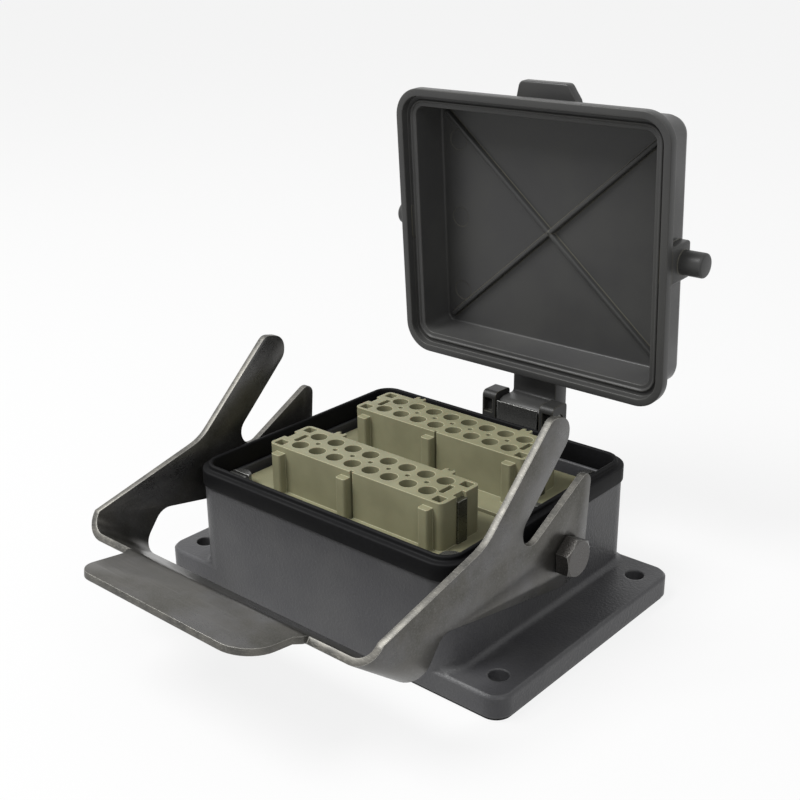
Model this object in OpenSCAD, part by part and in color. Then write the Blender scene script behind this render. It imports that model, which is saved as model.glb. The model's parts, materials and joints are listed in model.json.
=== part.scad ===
// Heavy duty rectangular connector: bulkhead housing for two 16-pole inserts,
// with one locking lever and a hinged protective cover.
// X runs along the long side, Y from the lever side to the hinge side, Z up.
// The origin is the centre of the mounting face. The lever and the cover are
// drawn open, the way they rest.

/* [Mounting flange] */
// Thickness of the flange
flange_t = 6.2; // [4.5:0.1:8]
// Radius of the flange corners
flange_r = 5; // [3:0.5:8]
// Thickness of the sealing frame under the flange
seal_t = 0.8; // [0.5:0.1:1.5]
// Distance of the mounting holes from the end walls
hole_out = 8.3; // [7:0.1:10]
// Distance of the mounting holes from the flange's ends
hole_end = 7.1; // [6:0.1:10]
// Distance of the mounting holes from the flange's long edges
hole_side = 8.9; // [7:0.1:12]
// Diameter of the mounting holes
hole_d = 5.5; // [4.5:0.1:6.5]

/* [Housing] */
// Outer length of the housing walls
body_l = 93.4; // [92:0.1:94.4]
// Outer depth of the housing walls
body_d = 82.8; // [81:0.1:84]
// Height of the walls above the flange
wall_h = 25.5; // [24:0.1:27]
// Thickness of the walls
wall_t = 3.2; // [2.6:0.1:3.6]
// Radius of the outer wall corners
body_r = 7; // [5:0.5:9]
// Height of the rubber rim above the walls
rim_h = 6.3; // [5.8:0.1:7]

/* [Inserts] */
// Spacing of the contacts along a row
contact_dx = 6.64; // [6.2:0.02:6.8]
// Spacing of the two rows
contact_dy = 7.5; // [7:0.1:8]
// Diameter of the contact holes
contact_d = 4.9; // [4.2:0.1:5.2]
// Height of the insert's upper body above its flange
insert_h = 13.6; // [12:0.1:14.5]

/* [Lever] */
// Thickness of the lever's steel sheet
lever_t = 2; // [1.5:0.1:2.2]
// Gap between the end walls and the lever's arms
arm_gap = 3.6; // [3.3:0.1:4.2]
// Depth of the lever's pivot below the top of the walls
pivot_drop = 6.1; // [5.6:0.1:7]
// Width of the thumb plate
thumb_w = 62; // [50:0.5:70]
// Length of the thumb plate
thumb_l = 18.4; // [14:0.2:20]
// Diameter of the pivot bolt's shoulder
pivot_d = 8; // [6.5:0.1:9]
// Angle through which the lever closes
lever_travel = 49; // [47:0.5:50]

/* [Cover] */
// How far the cover stands out past the end walls
cover_side = 1.3; // [1.1:0.1:1.8]
// How far the cover stands out past the long walls
cover_front = 1.6; // [1.2:0.1:2]
// Height of the closed cover
cover_h = 17; // [15:0.1:20]
// Thickness of the cover's walls
cover_wall = 2.5; // [1.8:0.1:3]
// Angle through which the cover closes
cover_travel = 86.3; // [80:0.1:88]
// Diameter of the locking pegs
peg_d = 7.2; // [6:0.1:7.4]
// How far the locking pegs stand out past the lever's arms
peg_out = 2.7; // [1.5:0.1:4]
// Diameter of the hinge pin
pin_d = 4; // [3:0.1:4.5]

/* [Hidden] */
$fn = 64;

slack = 0.05;          // running clearance round a shaft, on the radius
side_gap = 0.3;        // gap between moving faces
eps = 0.01;

// Colours
paint = [0.31, 0.31, 0.32];
rubber = [0.09, 0.09, 0.10];
steel = [0.55, 0.54, 0.50];
plastic = [0.27, 0.27, 0.26];
beige = [0.62, 0.61, 0.50];
silver = [0.75, 0.74, 0.70];

// Housing and flange
flange_top = seal_t + flange_t;
wall_top = flange_top + wall_h;
inner_l = body_l - 2 * wall_t;
inner_d = body_d - 2 * wall_t;
inner_r = body_r - wall_t + 0.5;
hole_dx = body_l + 2 * hole_out;
hole_dy = body_d - 2 * hole_side;
flange_l = hole_dx + 2 * hole_end;
flange_edge = 0.7;     // bevel along the flange's upper edge
wall_foot = 1.8;       // fillet between the end walls and the flange

// Rubber rim: skirt, shoulder for the cover's lip, and sealing bead
rim_out = 0.5;         // the rim stands proud of the walls
rim_in = 2.5;          // its inner face, inward of the outer wall face
shoulder_drop = 1.4;   // the shoulder lies below the bead
bead_w = 1.2;

// Inserts
insert_drop = 2.1;     // the insert flange lies this far below the wall tops
insert_flange_t = 3.5;
insert_seat = wall_top - insert_drop - insert_flange_t;
insert_room = [1.9, 3.3];  // between the inserts and the walls
insert_apart = 1.8;    // between the two inserts
insert_flange = [inner_l - 2 * insert_room[0], inner_d / 2 - insert_room[1] - insert_apart / 2];
insert_dy = insert_flange[1] + insert_apart;
insert_end = 4.9;      // the body runs on this far past the last contacts
insert_ledge = 10;     // least length of the flange past the body
columns = floor((insert_flange[0] - 2 * (insert_end + insert_ledge)) / contact_dx);
insert_body = [columns * contact_dx + 2 * insert_end, contact_dy + contact_d + 3.8];
insert_foot = 19;      // depth of the terminal block below the flange
screw_edge = [2.85, 3.5];  // from the flange's edges to its screws
screw_dx = insert_flange[0] - 2 * screw_edge[0];
screw_dy = insert_flange[1] - 2 * screw_edge[1];
screw_d = 4;

// Lever, in [y, z] from its pivot, as it rests
lever_gap = body_l + 2 * arm_gap;
pivot_h = wall_top - pivot_drop;
bend_r = 5;            // inner radius of the two bends
bar_tilt = 38;         // slope of the cross bar
bar_w = 20.6;          // width of the cross bar
bar_front = 33.5;      // its upper edge lies this far in front of the wall
bar_rise = 3.3;
bar_top = [-body_d / 2 - bar_front, bar_rise];
thumb_tilt = 8;
eye_r = 9.4;           // round end of the arm about the pivot
bar_down = [cos(bar_tilt), -sin(bar_tilt)];
bar_out = [-sin(bar_tilt), -cos(bar_tilt)];
bar_low = bar_top + bar_w * bar_down;
bar_corner = [4.5, 12.4];  // how far the arm's knees lie behind the bar
arm_waist = [-34.7, 16.3];
hook_back = [-8, 40.8];
hook_tip = [-0.2, 39];
hook_l = 24;           // length of the slot's upper side
prong_l = 27.4;        // length of the slot's lower side
prong_foot = [9.2, -1.5];
slot_rise = 43.2;      // slope of the slot's upper side

// Closed cover
cover_l = body_l + 2 * cover_side;
cover_d = body_d + 2 * cover_front;
cover_rim = wall_top + rim_h - shoulder_drop + 0.1;
cover_r = 9;
lip_t = 2.3;           // outer lip of the cover's edge
lip_h = 2.6;           // the ledge lies this far inside the lip
band_h = 3.2;          // thickness of the cover's outer band
cover_step = 3.3;      // the box stands this far inside the band
peg_rise = 9.5;        // the pegs lie this far above the cover's edge
peg_span = lever_gap + 2 * lever_t + 2 * peg_out;
peg_reach = cover_rim + peg_rise - pivot_h;      // peg centre from the lever's pivot

// Slot of the lever, about its pivot: the closed peg's place as the lever rests,
// and the pocket it ends in when the lever is closed
pocket_r = peg_d / 2 + 0.8;
peg_open = [0, peg_reach];
pocket = (peg_reach - 0.35) * [cos(90 + lever_travel), sin(90 + lever_travel)];
to_peg = peg_open - pocket;
prong_rise = atan2(to_peg[1], to_peg[0])
    + asin((pocket_r - peg_d / 2 - side_gap) / norm(to_peg));

// Hinge
hinge = [body_d / 2 + 13, wall_top + 4.3];   // pin axis in [y, z]
knuckle_r = 3.3;
knuckle_l = 16.2;
ear_l = 5;
ear_y = [hinge[0] - 4, hinge[0] + 3.8];
ear_top = hinge[1] + 5;
bracket_l = knuckle_l + 2 * (side_gap + ear_l);

// ---- Helpers ----------------------------------------------------------------

// Rectangle with round corners, centred
module round_rect(l, d, r) {
    union() {
        square([l - 2 * r, d], center = true);
        square([l, d - 2 * r], center = true);
        for (x = [-1, 1], y = [-1, 1])
            translate([x * (l / 2 - r), y * (d / 2 - r)]) circle(r);
    }
}

// Block with round vertical corners standing on z = 0
module round_block(l, d, h, r) {
    linear_extrude(h) round_rect(l, d, r);
}

// A solid drawn in [y, z] and run along x, centred
module along_x(l) {
    rotate([90, 0, 90]) linear_extrude(l, center = true) children();
}

// Section of a bevelled block, in [width, height]
module bevelled_side(w, h, e) {
    polygon([
        [-w / 2, 0], [w / 2, 0], [w / 2, h - e],
        [w / 2 - e, h], [-w / 2 + e, h], [-w / 2, h - e]
    ]);
}

// Block with round vertical corners and a bevel e along its upper edge
module bevelled_block(l, d, h, r, e) {
    union() {
        for (x = [-1, 1], y = [-1, 1]) translate([x * (l / 2 - r), y * (d / 2 - r), 0]) {
            cylinder(h = h - e, r = r);
            translate([0, 0, h - e]) cylinder(h = e, r1 = r, r2 = r - e);
        }
        along_x(l - 2 * r) bevelled_side(d, h, e);
        rotate(90) along_x(d - 2 * r) bevelled_side(l, h, e);
    }
}

// Right half of a section with its upper edge rounded by e, in [out, height]
module round_top_side(w, h, e) {
    union() {
        square([w, h - e]);
        square([w - e, h]);
        translate([w - e, h - e]) circle(e);
    }
}

// Block with round vertical corners and its upper edge rounded by e
module round_top_block(l, d, h, r, e) {
    union() {
        for (x = [-1, 1], y = [-1, 1]) translate([x * (l / 2 - r), y * (d / 2 - r), 0])
            rotate_extrude() intersection() {
                round_top_side(r, h, e);
                square([r, h]);
            }
        for (turned = [0, 180]) rotate(turned) {
            along_x(l - 2 * r) round_top_side(d / 2, h, e);
            rotate(90) along_x(d - 2 * r) round_top_side(l / 2, h, e);
        }
    }
}

// Cylinder along x, starting at x
module rod_x(x, l, r) {
    translate([x, 0, 0]) rotate([0, 90, 0]) cylinder(h = l, r = r);
}

function heading(a) = [cos(a), sin(a)];

// Corner arc of an outline at point p between neighbours a and b
function unit(v) = v / norm(v);
function turn(a) = a > 180 ? a - 360 : a < -180 ? a + 360 : a;
function corner(a, p, b, r, n) =
    r == 0 ? [p] :
    let (u = unit(a - p), v = unit(b - p), half = acos(u * v) / 2,
         c = p + unit(u + v) * r / sin(half), t = r / tan(half),
         s = p + u * t - c, e = p + v * t - c,
         a0 = atan2(s[1], s[0]), sweep = turn(atan2(e[1], e[0]) - a0))
    [for (i = [0 : n]) c + r * [cos(a0 + sweep * i / n), sin(a0 + sweep * i / n)]];

// Outline from [y, z, radius] points, every corner rounded by its radius
function rounded(pts, n = 8) =
    let (m = len(pts), xy = [for (p = pts) [p[0], p[1]]])
    [for (i = [0 : m - 1])
        each corner(xy[(i + m - 1) % m], xy[i], xy[(i + 1) % m], pts[i][2], n)];

module at_pivot() { translate([0, 0, pivot_h]) children(); }

// Draws what is modelled closed in its open position
module opened() {
    translate([0, hinge[0], hinge[1]]) rotate([-cover_travel, 0, 0])
        translate([0, -hinge[0], -hinge[1]]) children();
}

module insert_places(side) { translate([0, side * insert_dy / 2, 0]) children(); }

module contact_places() {
    for (i = [0 : columns - 1], row = [-1, 1])
        translate([(i - (columns - 1) / 2) * contact_dx, row * contact_dy / 2, 0]) children();
}

module screw_places() {
    for (x = [-1, 1], y = [-1, 1])
        translate([x * screw_dx / 2, y * screw_dy / 2, 0]) children();
}

// ---- Housing ----------------------------------------------------------------

boss_r = pivot_drop - 0.1;
boss_face = lever_gap / 2 - side_gap;     // where the bolt's shoulder seats
bolt_shank_d = 6;
bolt_end = inner_l / 2 + 0.5;
lug_h = 12;
lug_reach = inner_l / 2 - screw_dx / 2 + 4.2;
lug_side_w = 12.4;
lug_mid_w = 18;
screw_hole_h = 9;

// Lugs that carry the insert flanges and take their screws
module insert_lugs() {
    for (x = [-1, 1]) translate([x * (inner_l / 2 - lug_reach / 2), 0, insert_seat - lug_h]) {
        for (side = [-1, 1])
            translate([0, side * (inner_d / 2 + 1 - lug_side_w / 2), 0])
                round_block(lug_reach + 2, lug_side_w, lug_h, 2);
        round_block(lug_reach + 2, lug_mid_w, lug_h, 2);
    }
}

// Section of the concave fillet between an end wall and the flange, in [out, up]
module fillet_section() {
    difference() {
        square(wall_foot);
        translate([wall_foot, wall_foot]) circle(wall_foot);
    }
}

// Fillets along the end walls and round the corners, as far as the flange's edge
module wall_fillets() {
    intersection() {
        for (turned = [0, 180]) rotate(turned) {
            translate([body_l / 2, 0, 0]) rotate([90, 0, 0])
                linear_extrude(body_d - 2 * body_r, center = true) fillet_section();
            for (side = [-1, 1])
                translate([body_l / 2 - body_r, side * (body_d / 2 - body_r), 0])
                    rotate_extrude() translate([body_r, 0]) fillet_section();
        }
        round_block(flange_l, body_d - 2 * flange_edge, wall_foot, flange_r);
    }
}

module housing() {
    color(paint) difference() {
        union() {
            translate([0, 0, seal_t])
                bevelled_block(flange_l, body_d, flange_t, flange_r, flange_edge);
            translate([0, 0, flange_top]) wall_fillets();
            translate([0, 0, seal_t]) round_block(body_l, body_d, wall_top - seal_t, body_r);
            at_pivot() for (x = [-boss_face, body_l / 2 - 1])
                rod_x(x, boss_face - body_l / 2 + 1, boss_r);
        }
        difference() {
            round_block(inner_l, inner_d, wall_top + 1, inner_r);
            insert_lugs();
        }
        for (side = [-1, 1]) insert_places(side)
            screw_places() translate([0, 0, insert_seat - screw_hole_h])
                cylinder(h = screw_hole_h + 1, d = screw_d);
        for (x = [-1, 1], y = [-1, 1])
            translate([x * hole_dx / 2, y * hole_dy / 2, 0]) cylinder(h = flange_top + 1, d = hole_d);
        at_pivot() rod_x(-boss_face - 1, 2 * boss_face + 2, bolt_shank_d / 2);
        bracket_screw_places() rotate([-90, 0, 0])
            translate([0, 0, -wall_t - 1]) cylinder(h = wall_t + 2, d = bracket_screw_d);
    }
}

// Rubber rim on top of the walls
module rim_ring(out, h, r_out, edge) {
    difference() {
        round_top_block(body_l + 2 * out, body_d + 2 * out, h, r_out, edge);
        translate([0, 0, -1])
            round_block(body_l - 2 * rim_in, body_d - 2 * rim_in, h + 2, body_r - rim_in);
    }
}

module rim_seal() {
    color(rubber) translate([0, 0, wall_top]) {
        rim_ring(rim_out, rim_h - shoulder_drop, body_r + rim_out, 0.8);
        rim_ring(bead_w - rim_in, rim_h, body_r - rim_in + bead_w, 0.5);
    }
}

// Flat sealing frame between the flange and the panel
module flange_seal() {
    color(rubber) difference() {
        round_block(flange_l - 1, body_d - 1, seal_t, flange_r - 0.5);
        translate([0, 0, -1]) round_block(inner_l, inner_d, seal_t + 2, inner_r);
        for (x = [-1, 1], y = [-1, 1])
            translate([x * hole_dx / 2, y * hole_dy / 2, -1])
                cylinder(h = seal_t + 2, d = hole_d + 0.6);
    }
}

// ---- Inserts ----------------------------------------------------------------

rib_drop = 1.8;        // ribs end below the insert's top face
mid_rib_x = -2;
rib_out = 2.3;         // the ribs stand this far out of the long sides
rib_w = 3.4;
rib_place = 4.6;       // from the body's ends to the end ribs
sleeve_d = contact_d - 0.9;
sleeve_hole_d = sleeve_d - 1.4;
sleeve_seat = 9;       // the sleeves stand on a step this far below the flange top
code_hole_d = 1.5;
foot_l = insert_body[0] - 1.4;
foot_d = insert_flange[1] - 10;
clip_t = 0.8;
clip_w = 4;
clip_foot = 2.8;       // the clips stand this deep in the insert's flange
clip_lip = 1.5;
groove_w = 0.9;        // groove beside the middle rib

// Upright that stands out of a long side of the body
module upright(x, side, w, h, r) {
    translate([x, side * (insert_body[1] / 2 - 1), 0]) round_block(w, 2 * rib_out + 2, h, r);
}

// Guide ribs on the long sides and two eyelets on the rear
module insert_ribs() {
    half_l = insert_body[0] / 2;
    eye_place = [half_l - 11.5, insert_body[1] / 2 + 2];
    for (x = [-1, 1]) {
        for (side = [-1, 1])
            upright(x * (half_l - rib_place), side, rib_w, insert_h - rib_drop, 0.7);
        difference() {
            upright(x * eye_place[0], 1, rib_w, insert_h, 0.8);
            translate([x * eye_place[0], eye_place[1], insert_h - 2.5]) cylinder(h = 3, d = 1.6);
        }
    }
    upright(mid_rib_x, -1, rib_w, insert_h - rib_drop, 0.7);
}

// Moulded hollows in both ends of the insert's top face
module end_hollows() {
    half_l = insert_body[0] / 2;
    for (x = [-1, 1]) translate([x * half_l, 0, 0]) {
        translate([-x * 4.9, 0, 0]) linear_extrude(20) round_rect(1.7, 5.2, 0.6);
        for (y = [-1, 1])
            translate([-x * 2.7, y * 5.7, 0]) linear_extrude(20) round_rect(3.2, 3.2, 0.5);
    }
}

module insert_body_block() {
    half_l = insert_body[0] / 2;
    difference() {
        union() {
            round_block(insert_body[0], insert_body[1], insert_h, 1.6);
            insert_ribs();
            translate([0, 0, -insert_flange_t])
                round_block(insert_flange[0], insert_flange[1], insert_flange_t, 3);
            translate([0, 0, -insert_flange_t - insert_foot])
                round_block(foot_l, foot_d, insert_foot + eps, 1);
        }
        translate([0, 0, insert_h - 5]) end_hollows();
        contact_places() {
            translate([0, 0, -sleeve_seat]) cylinder(h = insert_h + sleeve_seat + 1, d = contact_d);
            translate([0, 0, -40]) cylinder(h = 40, d = sleeve_d - 0.8);
        }
        for (i = [0 : columns - 2])
            translate([(i - (columns - 2) / 2) * contact_dx, 0, insert_h - 3])
                cylinder(h = 4, d = code_hole_d);
        for (x = [-1, 1]) {
            translate([x * (half_l - 0.5), 0, insert_h / 2 + 0.5])
                cube([clip_t + 0.8, clip_w, insert_h + 1], center = true);
            translate([x * (half_l + 0.1), 0, -clip_foot / 2 + 0.5])
                cube([clip_t + 0.1, clip_w - 0.1, clip_foot + 1], center = true);
        }
        translate([mid_rib_x + rib_w / 2 + groove_w / 2, -insert_body[1] / 2, insert_h / 2])
            cube([groove_w, 2 * groove_w, insert_h + 2], center = true);
        screw_places() translate([0, 0, -insert_flange_t - 1])
            cylinder(h = insert_flange_t + 2, d = screw_d + 0.6);
        terminal_places() cylinder(h = 2 * terminal_l, d = terminal_d);
    }
}

terminal_d = 4.2;
terminal_l = 3.2;
terminal_drop = 9;     // the terminal screws lie this far below the flange

// Terminal screws enter through both long sides of the foot
module terminal_places() {
    for (i = [0 : columns - 1], row = [-1, 1])
        translate([(i - (columns - 1) / 2) * contact_dx, row * (foot_d / 2 - terminal_l - 0.8),
                   -insert_flange_t - terminal_drop])
            rotate([-row * 90, 0, 0]) children();
}

module at_insert(side) {
    insert_places(side) translate([0, 0, insert_seat + insert_flange_t]) children();
}

module insert_front() { color(beige) at_insert(-1) insert_body_block(); }
module insert_rear() { color(beige) at_insert(1) insert_body_block(); }

// Contact sleeves, open at the top, seated at the bottom of their holes
module sockets() {
    contact_places() difference() {
        translate([0, 0, -sleeve_seat]) cylinder(h = insert_h + sleeve_seat - 6, d = sleeve_d);
        translate([0, 0, -4]) cylinder(h = insert_h, d = sleeve_hole_d);
    }
}

module sockets_front() { color(silver) at_insert(-1) sockets(); }
module sockets_rear() { color(silver) at_insert(1) sockets(); }

// Earth contact at each end: a springy strip that stands in a slot of the flange,
// with a lip turned in over the recess behind it
module earth_clips() {
    strip = [clip_t, clip_w - 0.2, insert_h - 1.5 + clip_foot];
    for (turned = [0, 180]) rotate(turned)
        translate([insert_body[0] / 2 + 0.1 - clip_t / 2, -strip[1] / 2, -clip_foot]) {
            cube(strip);
            translate([-clip_lip + clip_t, 0, strip[2] - 0.6]) cube([clip_lip, strip[1], 0.6]);
        }
}

module earth_clips_front() { color(silver) at_insert(-1) earth_clips(); }
module earth_clips_rear() { color(silver) at_insert(1) earth_clips(); }

screw_head = [6.8, 2.4];   // diameter and height

// Captive screws that hold an insert to the lugs
module fixing_screws() {
    screw_places() difference() {
        union() {
            cylinder(h = screw_head[1], d = screw_head[0]);
            translate([0, 0, 1 - insert_flange_t - screw_hole_h])
                cylinder(h = insert_flange_t + screw_hole_h - 1, d = screw_d - 0.1);
        }
        translate([0, 0, screw_head[1]]) cube([screw_head[0] + 1, 1, 2.4], center = true);
    }
}

module fixing_screws_front() { color(silver) at_insert(-1) fixing_screws(); }
module fixing_screws_rear() { color(silver) at_insert(1) fixing_screws(); }

module terminal_screws() {
    terminal_places() difference() {
        cylinder(h = terminal_l, d = terminal_d - 0.1);
        translate([0, 0, terminal_l]) cube([terminal_d + 1, 0.8, 1.8], center = true);
    }
}

module terminal_screws_front() { color(silver) at_insert(-1) terminal_screws(); }
module terminal_screws_rear() { color(silver) at_insert(1) terminal_screws(); }

// ---- Lever and its bolts ----------------------------------------------------

head_h = 4;
head_af = 10;
head_turn = 5;

// Shoulder bolt: the shoulder seats on the boss and the head keeps the arm on
module pivot_bolt() {
    shoulder_l = lever_t + 2 * side_gap;
    rod_x(bolt_end, boss_face - bolt_end + eps, bolt_shank_d / 2);
    rod_x(boss_face, shoulder_l + eps, pivot_d / 2);
    translate([boss_face + shoulder_l, 0, 0]) rotate([head_turn, 0, 0]) rotate([0, 90, 0]) intersection() {
        cylinder(h = head_h, d = head_af / cos(30), $fn = 6);
        cylinder(h = head_h, r1 = head_af / 2 + head_h * 1.7, r2 = head_af / 2 - 0.2);
    }
}

module pivot_bolt_right() { color(steel) at_pivot() pivot_bolt(); }
module pivot_bolt_left() { color(steel) at_pivot() mirror([1, 0, 0]) pivot_bolt(); }

// Side view of the whole bent sheet: arm, hook, prong and the bar's two edges
module arm_outline() {
    knee_top = bar_top - bar_corner[0] * bar_out;
    knee_low = bar_low - bar_corner[1] * bar_out;
    far_top = bar_top + thumb_l * bar_out;
    far_low = bar_low + thumb_l * bar_out;
    slot_top = pocket + pocket_r * heading(slot_rise + 90);
    slot_low = pocket + pocket_r * heading(prong_rise - 90);
    polygon(rounded([
        concat(knee_top, 1), concat(arm_waist, 14), concat(hook_back, 3),
        concat(hook_tip, 4.5), concat(slot_top + hook_l * heading(slot_rise), 4),
        concat(slot_top, 0), concat(slot_low, 0),
        concat(slot_low + prong_l * heading(prong_rise), 2.6), concat(prong_foot, 0),
        concat(eye_r * heading(-100), 0), concat(knee_low, 5), concat(far_low, 0), concat(far_top, 0)
    ]));
    circle(eye_r);
}

run = 4 * lever_gap;     // longer than the whole lever

// Section of the bent sheet across its bends: two arms and the cross bar
module u_half(half, r) {
    translate([-half, r]) square([2 * half, run]);
    translate([-half + r, 0]) square([2 * (half - r), r + 1]);
    for (x = [-1, 1]) translate([x * (half - r), r]) circle(r);
}

module u_section() {
    difference() {
        translate([0, -lever_t]) u_half(lever_gap / 2 + lever_t, bend_r + lever_t);
        u_half(lever_gap / 2, bend_r);
    }
}

// Thumb plate, drawn in [x, y] with its root at y = 0 and its end at -thumb_l
module thumb_plate() {
    linear_extrude(lever_t) polygon(rounded([
        [-thumb_w / 2 - 4, 1, 0], [-thumb_w / 2 - 3, 0, 0], [-thumb_w / 2, -2.6, 3],
        [-thumb_w / 2, -thumb_l, 5], [thumb_w / 2, -thumb_l, 9], [thumb_w / 2, -2.6, 3],
        [thumb_w / 2 + 3, 0, 0], [thumb_w / 2 + 4, 1, 0]
    ]));
}

module locking_lever() {
    color(steel) at_pivot() difference() {
        union() {
            intersection() {
                translate([0, bar_top[0], bar_top[1]]) rotate([90 - bar_tilt, 0, 0])
                    linear_extrude(run, center = true) u_section();
                along_x(lever_gap + 2 * lever_t + 2) difference() {
                    arm_outline();
                    translate(pocket) circle(pocket_r);
                }
            }
            translate([0, bar_top[0], bar_top[1]]) rotate([-thumb_tilt, 0, 0])
                translate([0, 0, -lever_t]) thumb_plate();
        }
        rod_x(-lever_gap, 2 * lever_gap, pivot_d / 2 + slack);
    }
}

// ---- Cover ------------------------------------------------------------------

box_l = cover_l - 2 * cover_step;
box_d = cover_d - 2 * cover_step;
box_r = 7.4;
box_edge = 3;          // rounding between the box's sides and its back
hollow_l = box_l - 2 * cover_wall;
hollow_d = box_d - 2 * cover_wall;
floor_h = cover_h - cover_wall;
peg_ch = 0.8;
peg_pad = 11;          // square pad at the root of each peg
tab_l = 7;
tab_w = 24;
tab_t = 3.2;
rib_t = 1.6;
rib_h = 1.4;
arm_out = 11.6;        // outer face of the hinge arm, from the pin
arm_in = 5.3;          // its inner face
arm_end = hinge[0] - hollow_d / 2 - 0.2;

// Everything of the cover but its hinge arm, standing on z = 0, edge down
module cover_shell() {
    difference() {
        union() {
            round_block(cover_l, cover_d, band_h, cover_r);
            round_top_block(box_l, box_d, cover_h, box_r, box_edge);
            for (x = [-1, 1]) peg(x);
            pull_tab();
        }
        translate([0, 0, -eps])
            round_block(cover_l - 2 * lip_t, cover_d - 2 * lip_t, lip_h, cover_r - lip_t);
        hull() {
            round_block(hollow_l, hollow_d, 1, 5, $fn = 32);
            translate([0, 0, floor_h - 1]) round_block(hollow_l - 1.2, hollow_d - 1.2, 1, 4.4, $fn = 32);
        }
    }
}

// Locking peg with its root pad and chamfered end
module peg(x) {
    translate([0, 0, peg_rise]) scale([x, 1, 1]) {
        translate([box_l / 2 - 1, -peg_pad / 2, -peg_pad / 2 - 1.5])
            cube([cover_step + 1, peg_pad, peg_pad]);
        rod_x(cover_l / 2 - 1, peg_span / 2 - cover_l / 2 + 1 - peg_ch, peg_d / 2);
        translate([peg_span / 2 - peg_ch, 0, 0]) rotate([0, 90, 0])
            cylinder(h = peg_ch, d1 = peg_d, d2 = peg_d - 2 * peg_ch);
    }
}

// Tab for a finger at the cover's front edge
module pull_tab() {
    half_w = tab_w / 2;
    translate([0, -box_d / 2 + 1, cover_h - tab_t - 2]) linear_extrude(tab_t) polygon(rounded([
        [-half_w, 0, 0], [-half_w + 1.5, -2.5, 1.5], [-half_w + 4.4, -tab_l, 1.6],
        [half_w - 4.4, -tab_l, 1.6], [half_w - 1.5, -2.5, 1.5], [half_w, 0, 0]
    ]));
}

// Crossed ribs on the inside of the cover
module cover_ribs() {
    span = [hollow_l - 6, hollow_d - 6];
    for (side = [-1, 1]) rotate(side * atan2(span[1], span[0]))
        translate([0, 0, floor_h - rib_h / 2 + 0.2])
            cube([norm(span), rib_t, rib_h + 0.4], center = true);
}

// Arm from the box to the knuckle, in [y, z] of the closed cover
module hinge_arm() {
    translate([0, hinge[0], hinge[1]]) rotate([cover_travel, 0, 0]) difference() {
        along_x(knuckle_l) {
            circle(knuckle_r);
            polygon(rounded([
                [0, -knuckle_r, 0], [arm_out, -knuckle_r, 3], [arm_out, arm_end, 0],
                [arm_in, arm_end, 0], [arm_in, knuckle_r, 1], [0, knuckle_r, 0]
            ]));
        }
        rod_x(-knuckle_l, 2 * knuckle_l, pin_d / 2 + slack);
    }
}

module cover() {
    color(plastic) opened() difference() {
        union() {
            translate([0, 0, cover_rim]) {
                cover_shell();
                cover_ribs();
            }
            hinge_arm();
        }
        // the hinge arm ends at the inner face of the cover's wall
        translate([0, 0, cover_rim - 5]) round_block(hollow_l, hollow_d, 5 + floor_h - 2, 5);
    }
}

// ---- Hinge ------------------------------------------------------------------

bracket_base = hinge[1] - knuckle_r - side_gap;  // top of the solid part
bracket_h = 16;
bracket_t = 4;
shelf_t = 6;
bracket_screw_d = 3;
bracket_screw_dx = 16;
bracket_screw_drop = 12;
bracket_head = [5.6, 2];   // diameter and height of the screw heads
spring_t = 0.5;
spring_h = 6.4;

module bracket_screw_places() {
    for (x = [-1, 1])
        translate([x * bracket_screw_dx / 2, body_d / 2, bracket_base - bracket_screw_drop]) children();
}

// Side view of an ear, in [y, z]
module ear_outline() {
    foot = bracket_base - 1;
    polygon(rounded([
        [ear_y[0], foot, 0], [ear_y[0], ear_top, 1.8], [ear_y[1], ear_top, 1.2], [ear_y[1], foot, 0]
    ]));
}

module hinge_bracket() {
    ear_x = bracket_l / 2 - ear_l / 2;
    color(plastic) difference() {
        union() {
            translate([0, body_d / 2, bracket_base - bracket_h / 2]) rotate([-90, 0, 0])
                round_block(bracket_l, bracket_h, bracket_t, 1.5);
            translate([-bracket_l / 2, body_d / 2, bracket_base - shelf_t])
                cube([bracket_l, ear_y[1] - body_d / 2, shelf_t]);
            for (x = [-ear_x, ear_x]) translate([x, 0, 0]) along_x(ear_l) ear_outline();
        }
        translate([-bracket_l, body_d / 2 - 1, wall_top - 0.2])
            cube([2 * bracket_l, 1 + rim_out + 0.2, rim_h]);
        translate([0, hinge[0], hinge[1]]) rod_x(-bracket_l, 2 * bracket_l, pin_d / 2 + 0.02);
        for (x = [-1, 1])
            translate([x * (ear_x + 0.3), ear_y[0], hinge[1] + 0.5])
                cube([3.2, 3, 4.6], center = true);
        bracket_screw_places() rotate([-90, 0, 0])
            translate([0, 0, -1]) cylinder(h = bracket_t + 2, d = bracket_screw_d + 0.3);
    }
}

module hinge_pin() {
    color(steel) translate([0, hinge[0], hinge[1]])
        rod_x(-bracket_l / 2 + 0.5, bracket_l - 1, pin_d / 2);
}

// Leaf spring that bears on the knuckle, standing between the ears
module hinge_spring() {
    color(steel) translate([0, hinge[0] - knuckle_r - side_gap - spring_t / 2, bracket_base])
        translate([0, 0, spring_h / 2]) cube([knuckle_l - 1, spring_t, spring_h], center = true);
}

module bracket_screws() {
    color(steel) bracket_screw_places() rotate([-90, 0, 0]) difference() {
        union() {
            translate([0, 0, -wall_t + 0.2]) cylinder(h = wall_t + bracket_t, d = bracket_screw_d - 0.1);
            translate([0, 0, bracket_t]) cylinder(h = bracket_head[1], d = bracket_head[0]);
        }
        translate([0, 0, bracket_t + bracket_head[1]]) cube([bracket_head[0] + 1, 0.9, 1.8], center = true);
    }
}

// ---- Assembly ---------------------------------------------------------------

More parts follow.
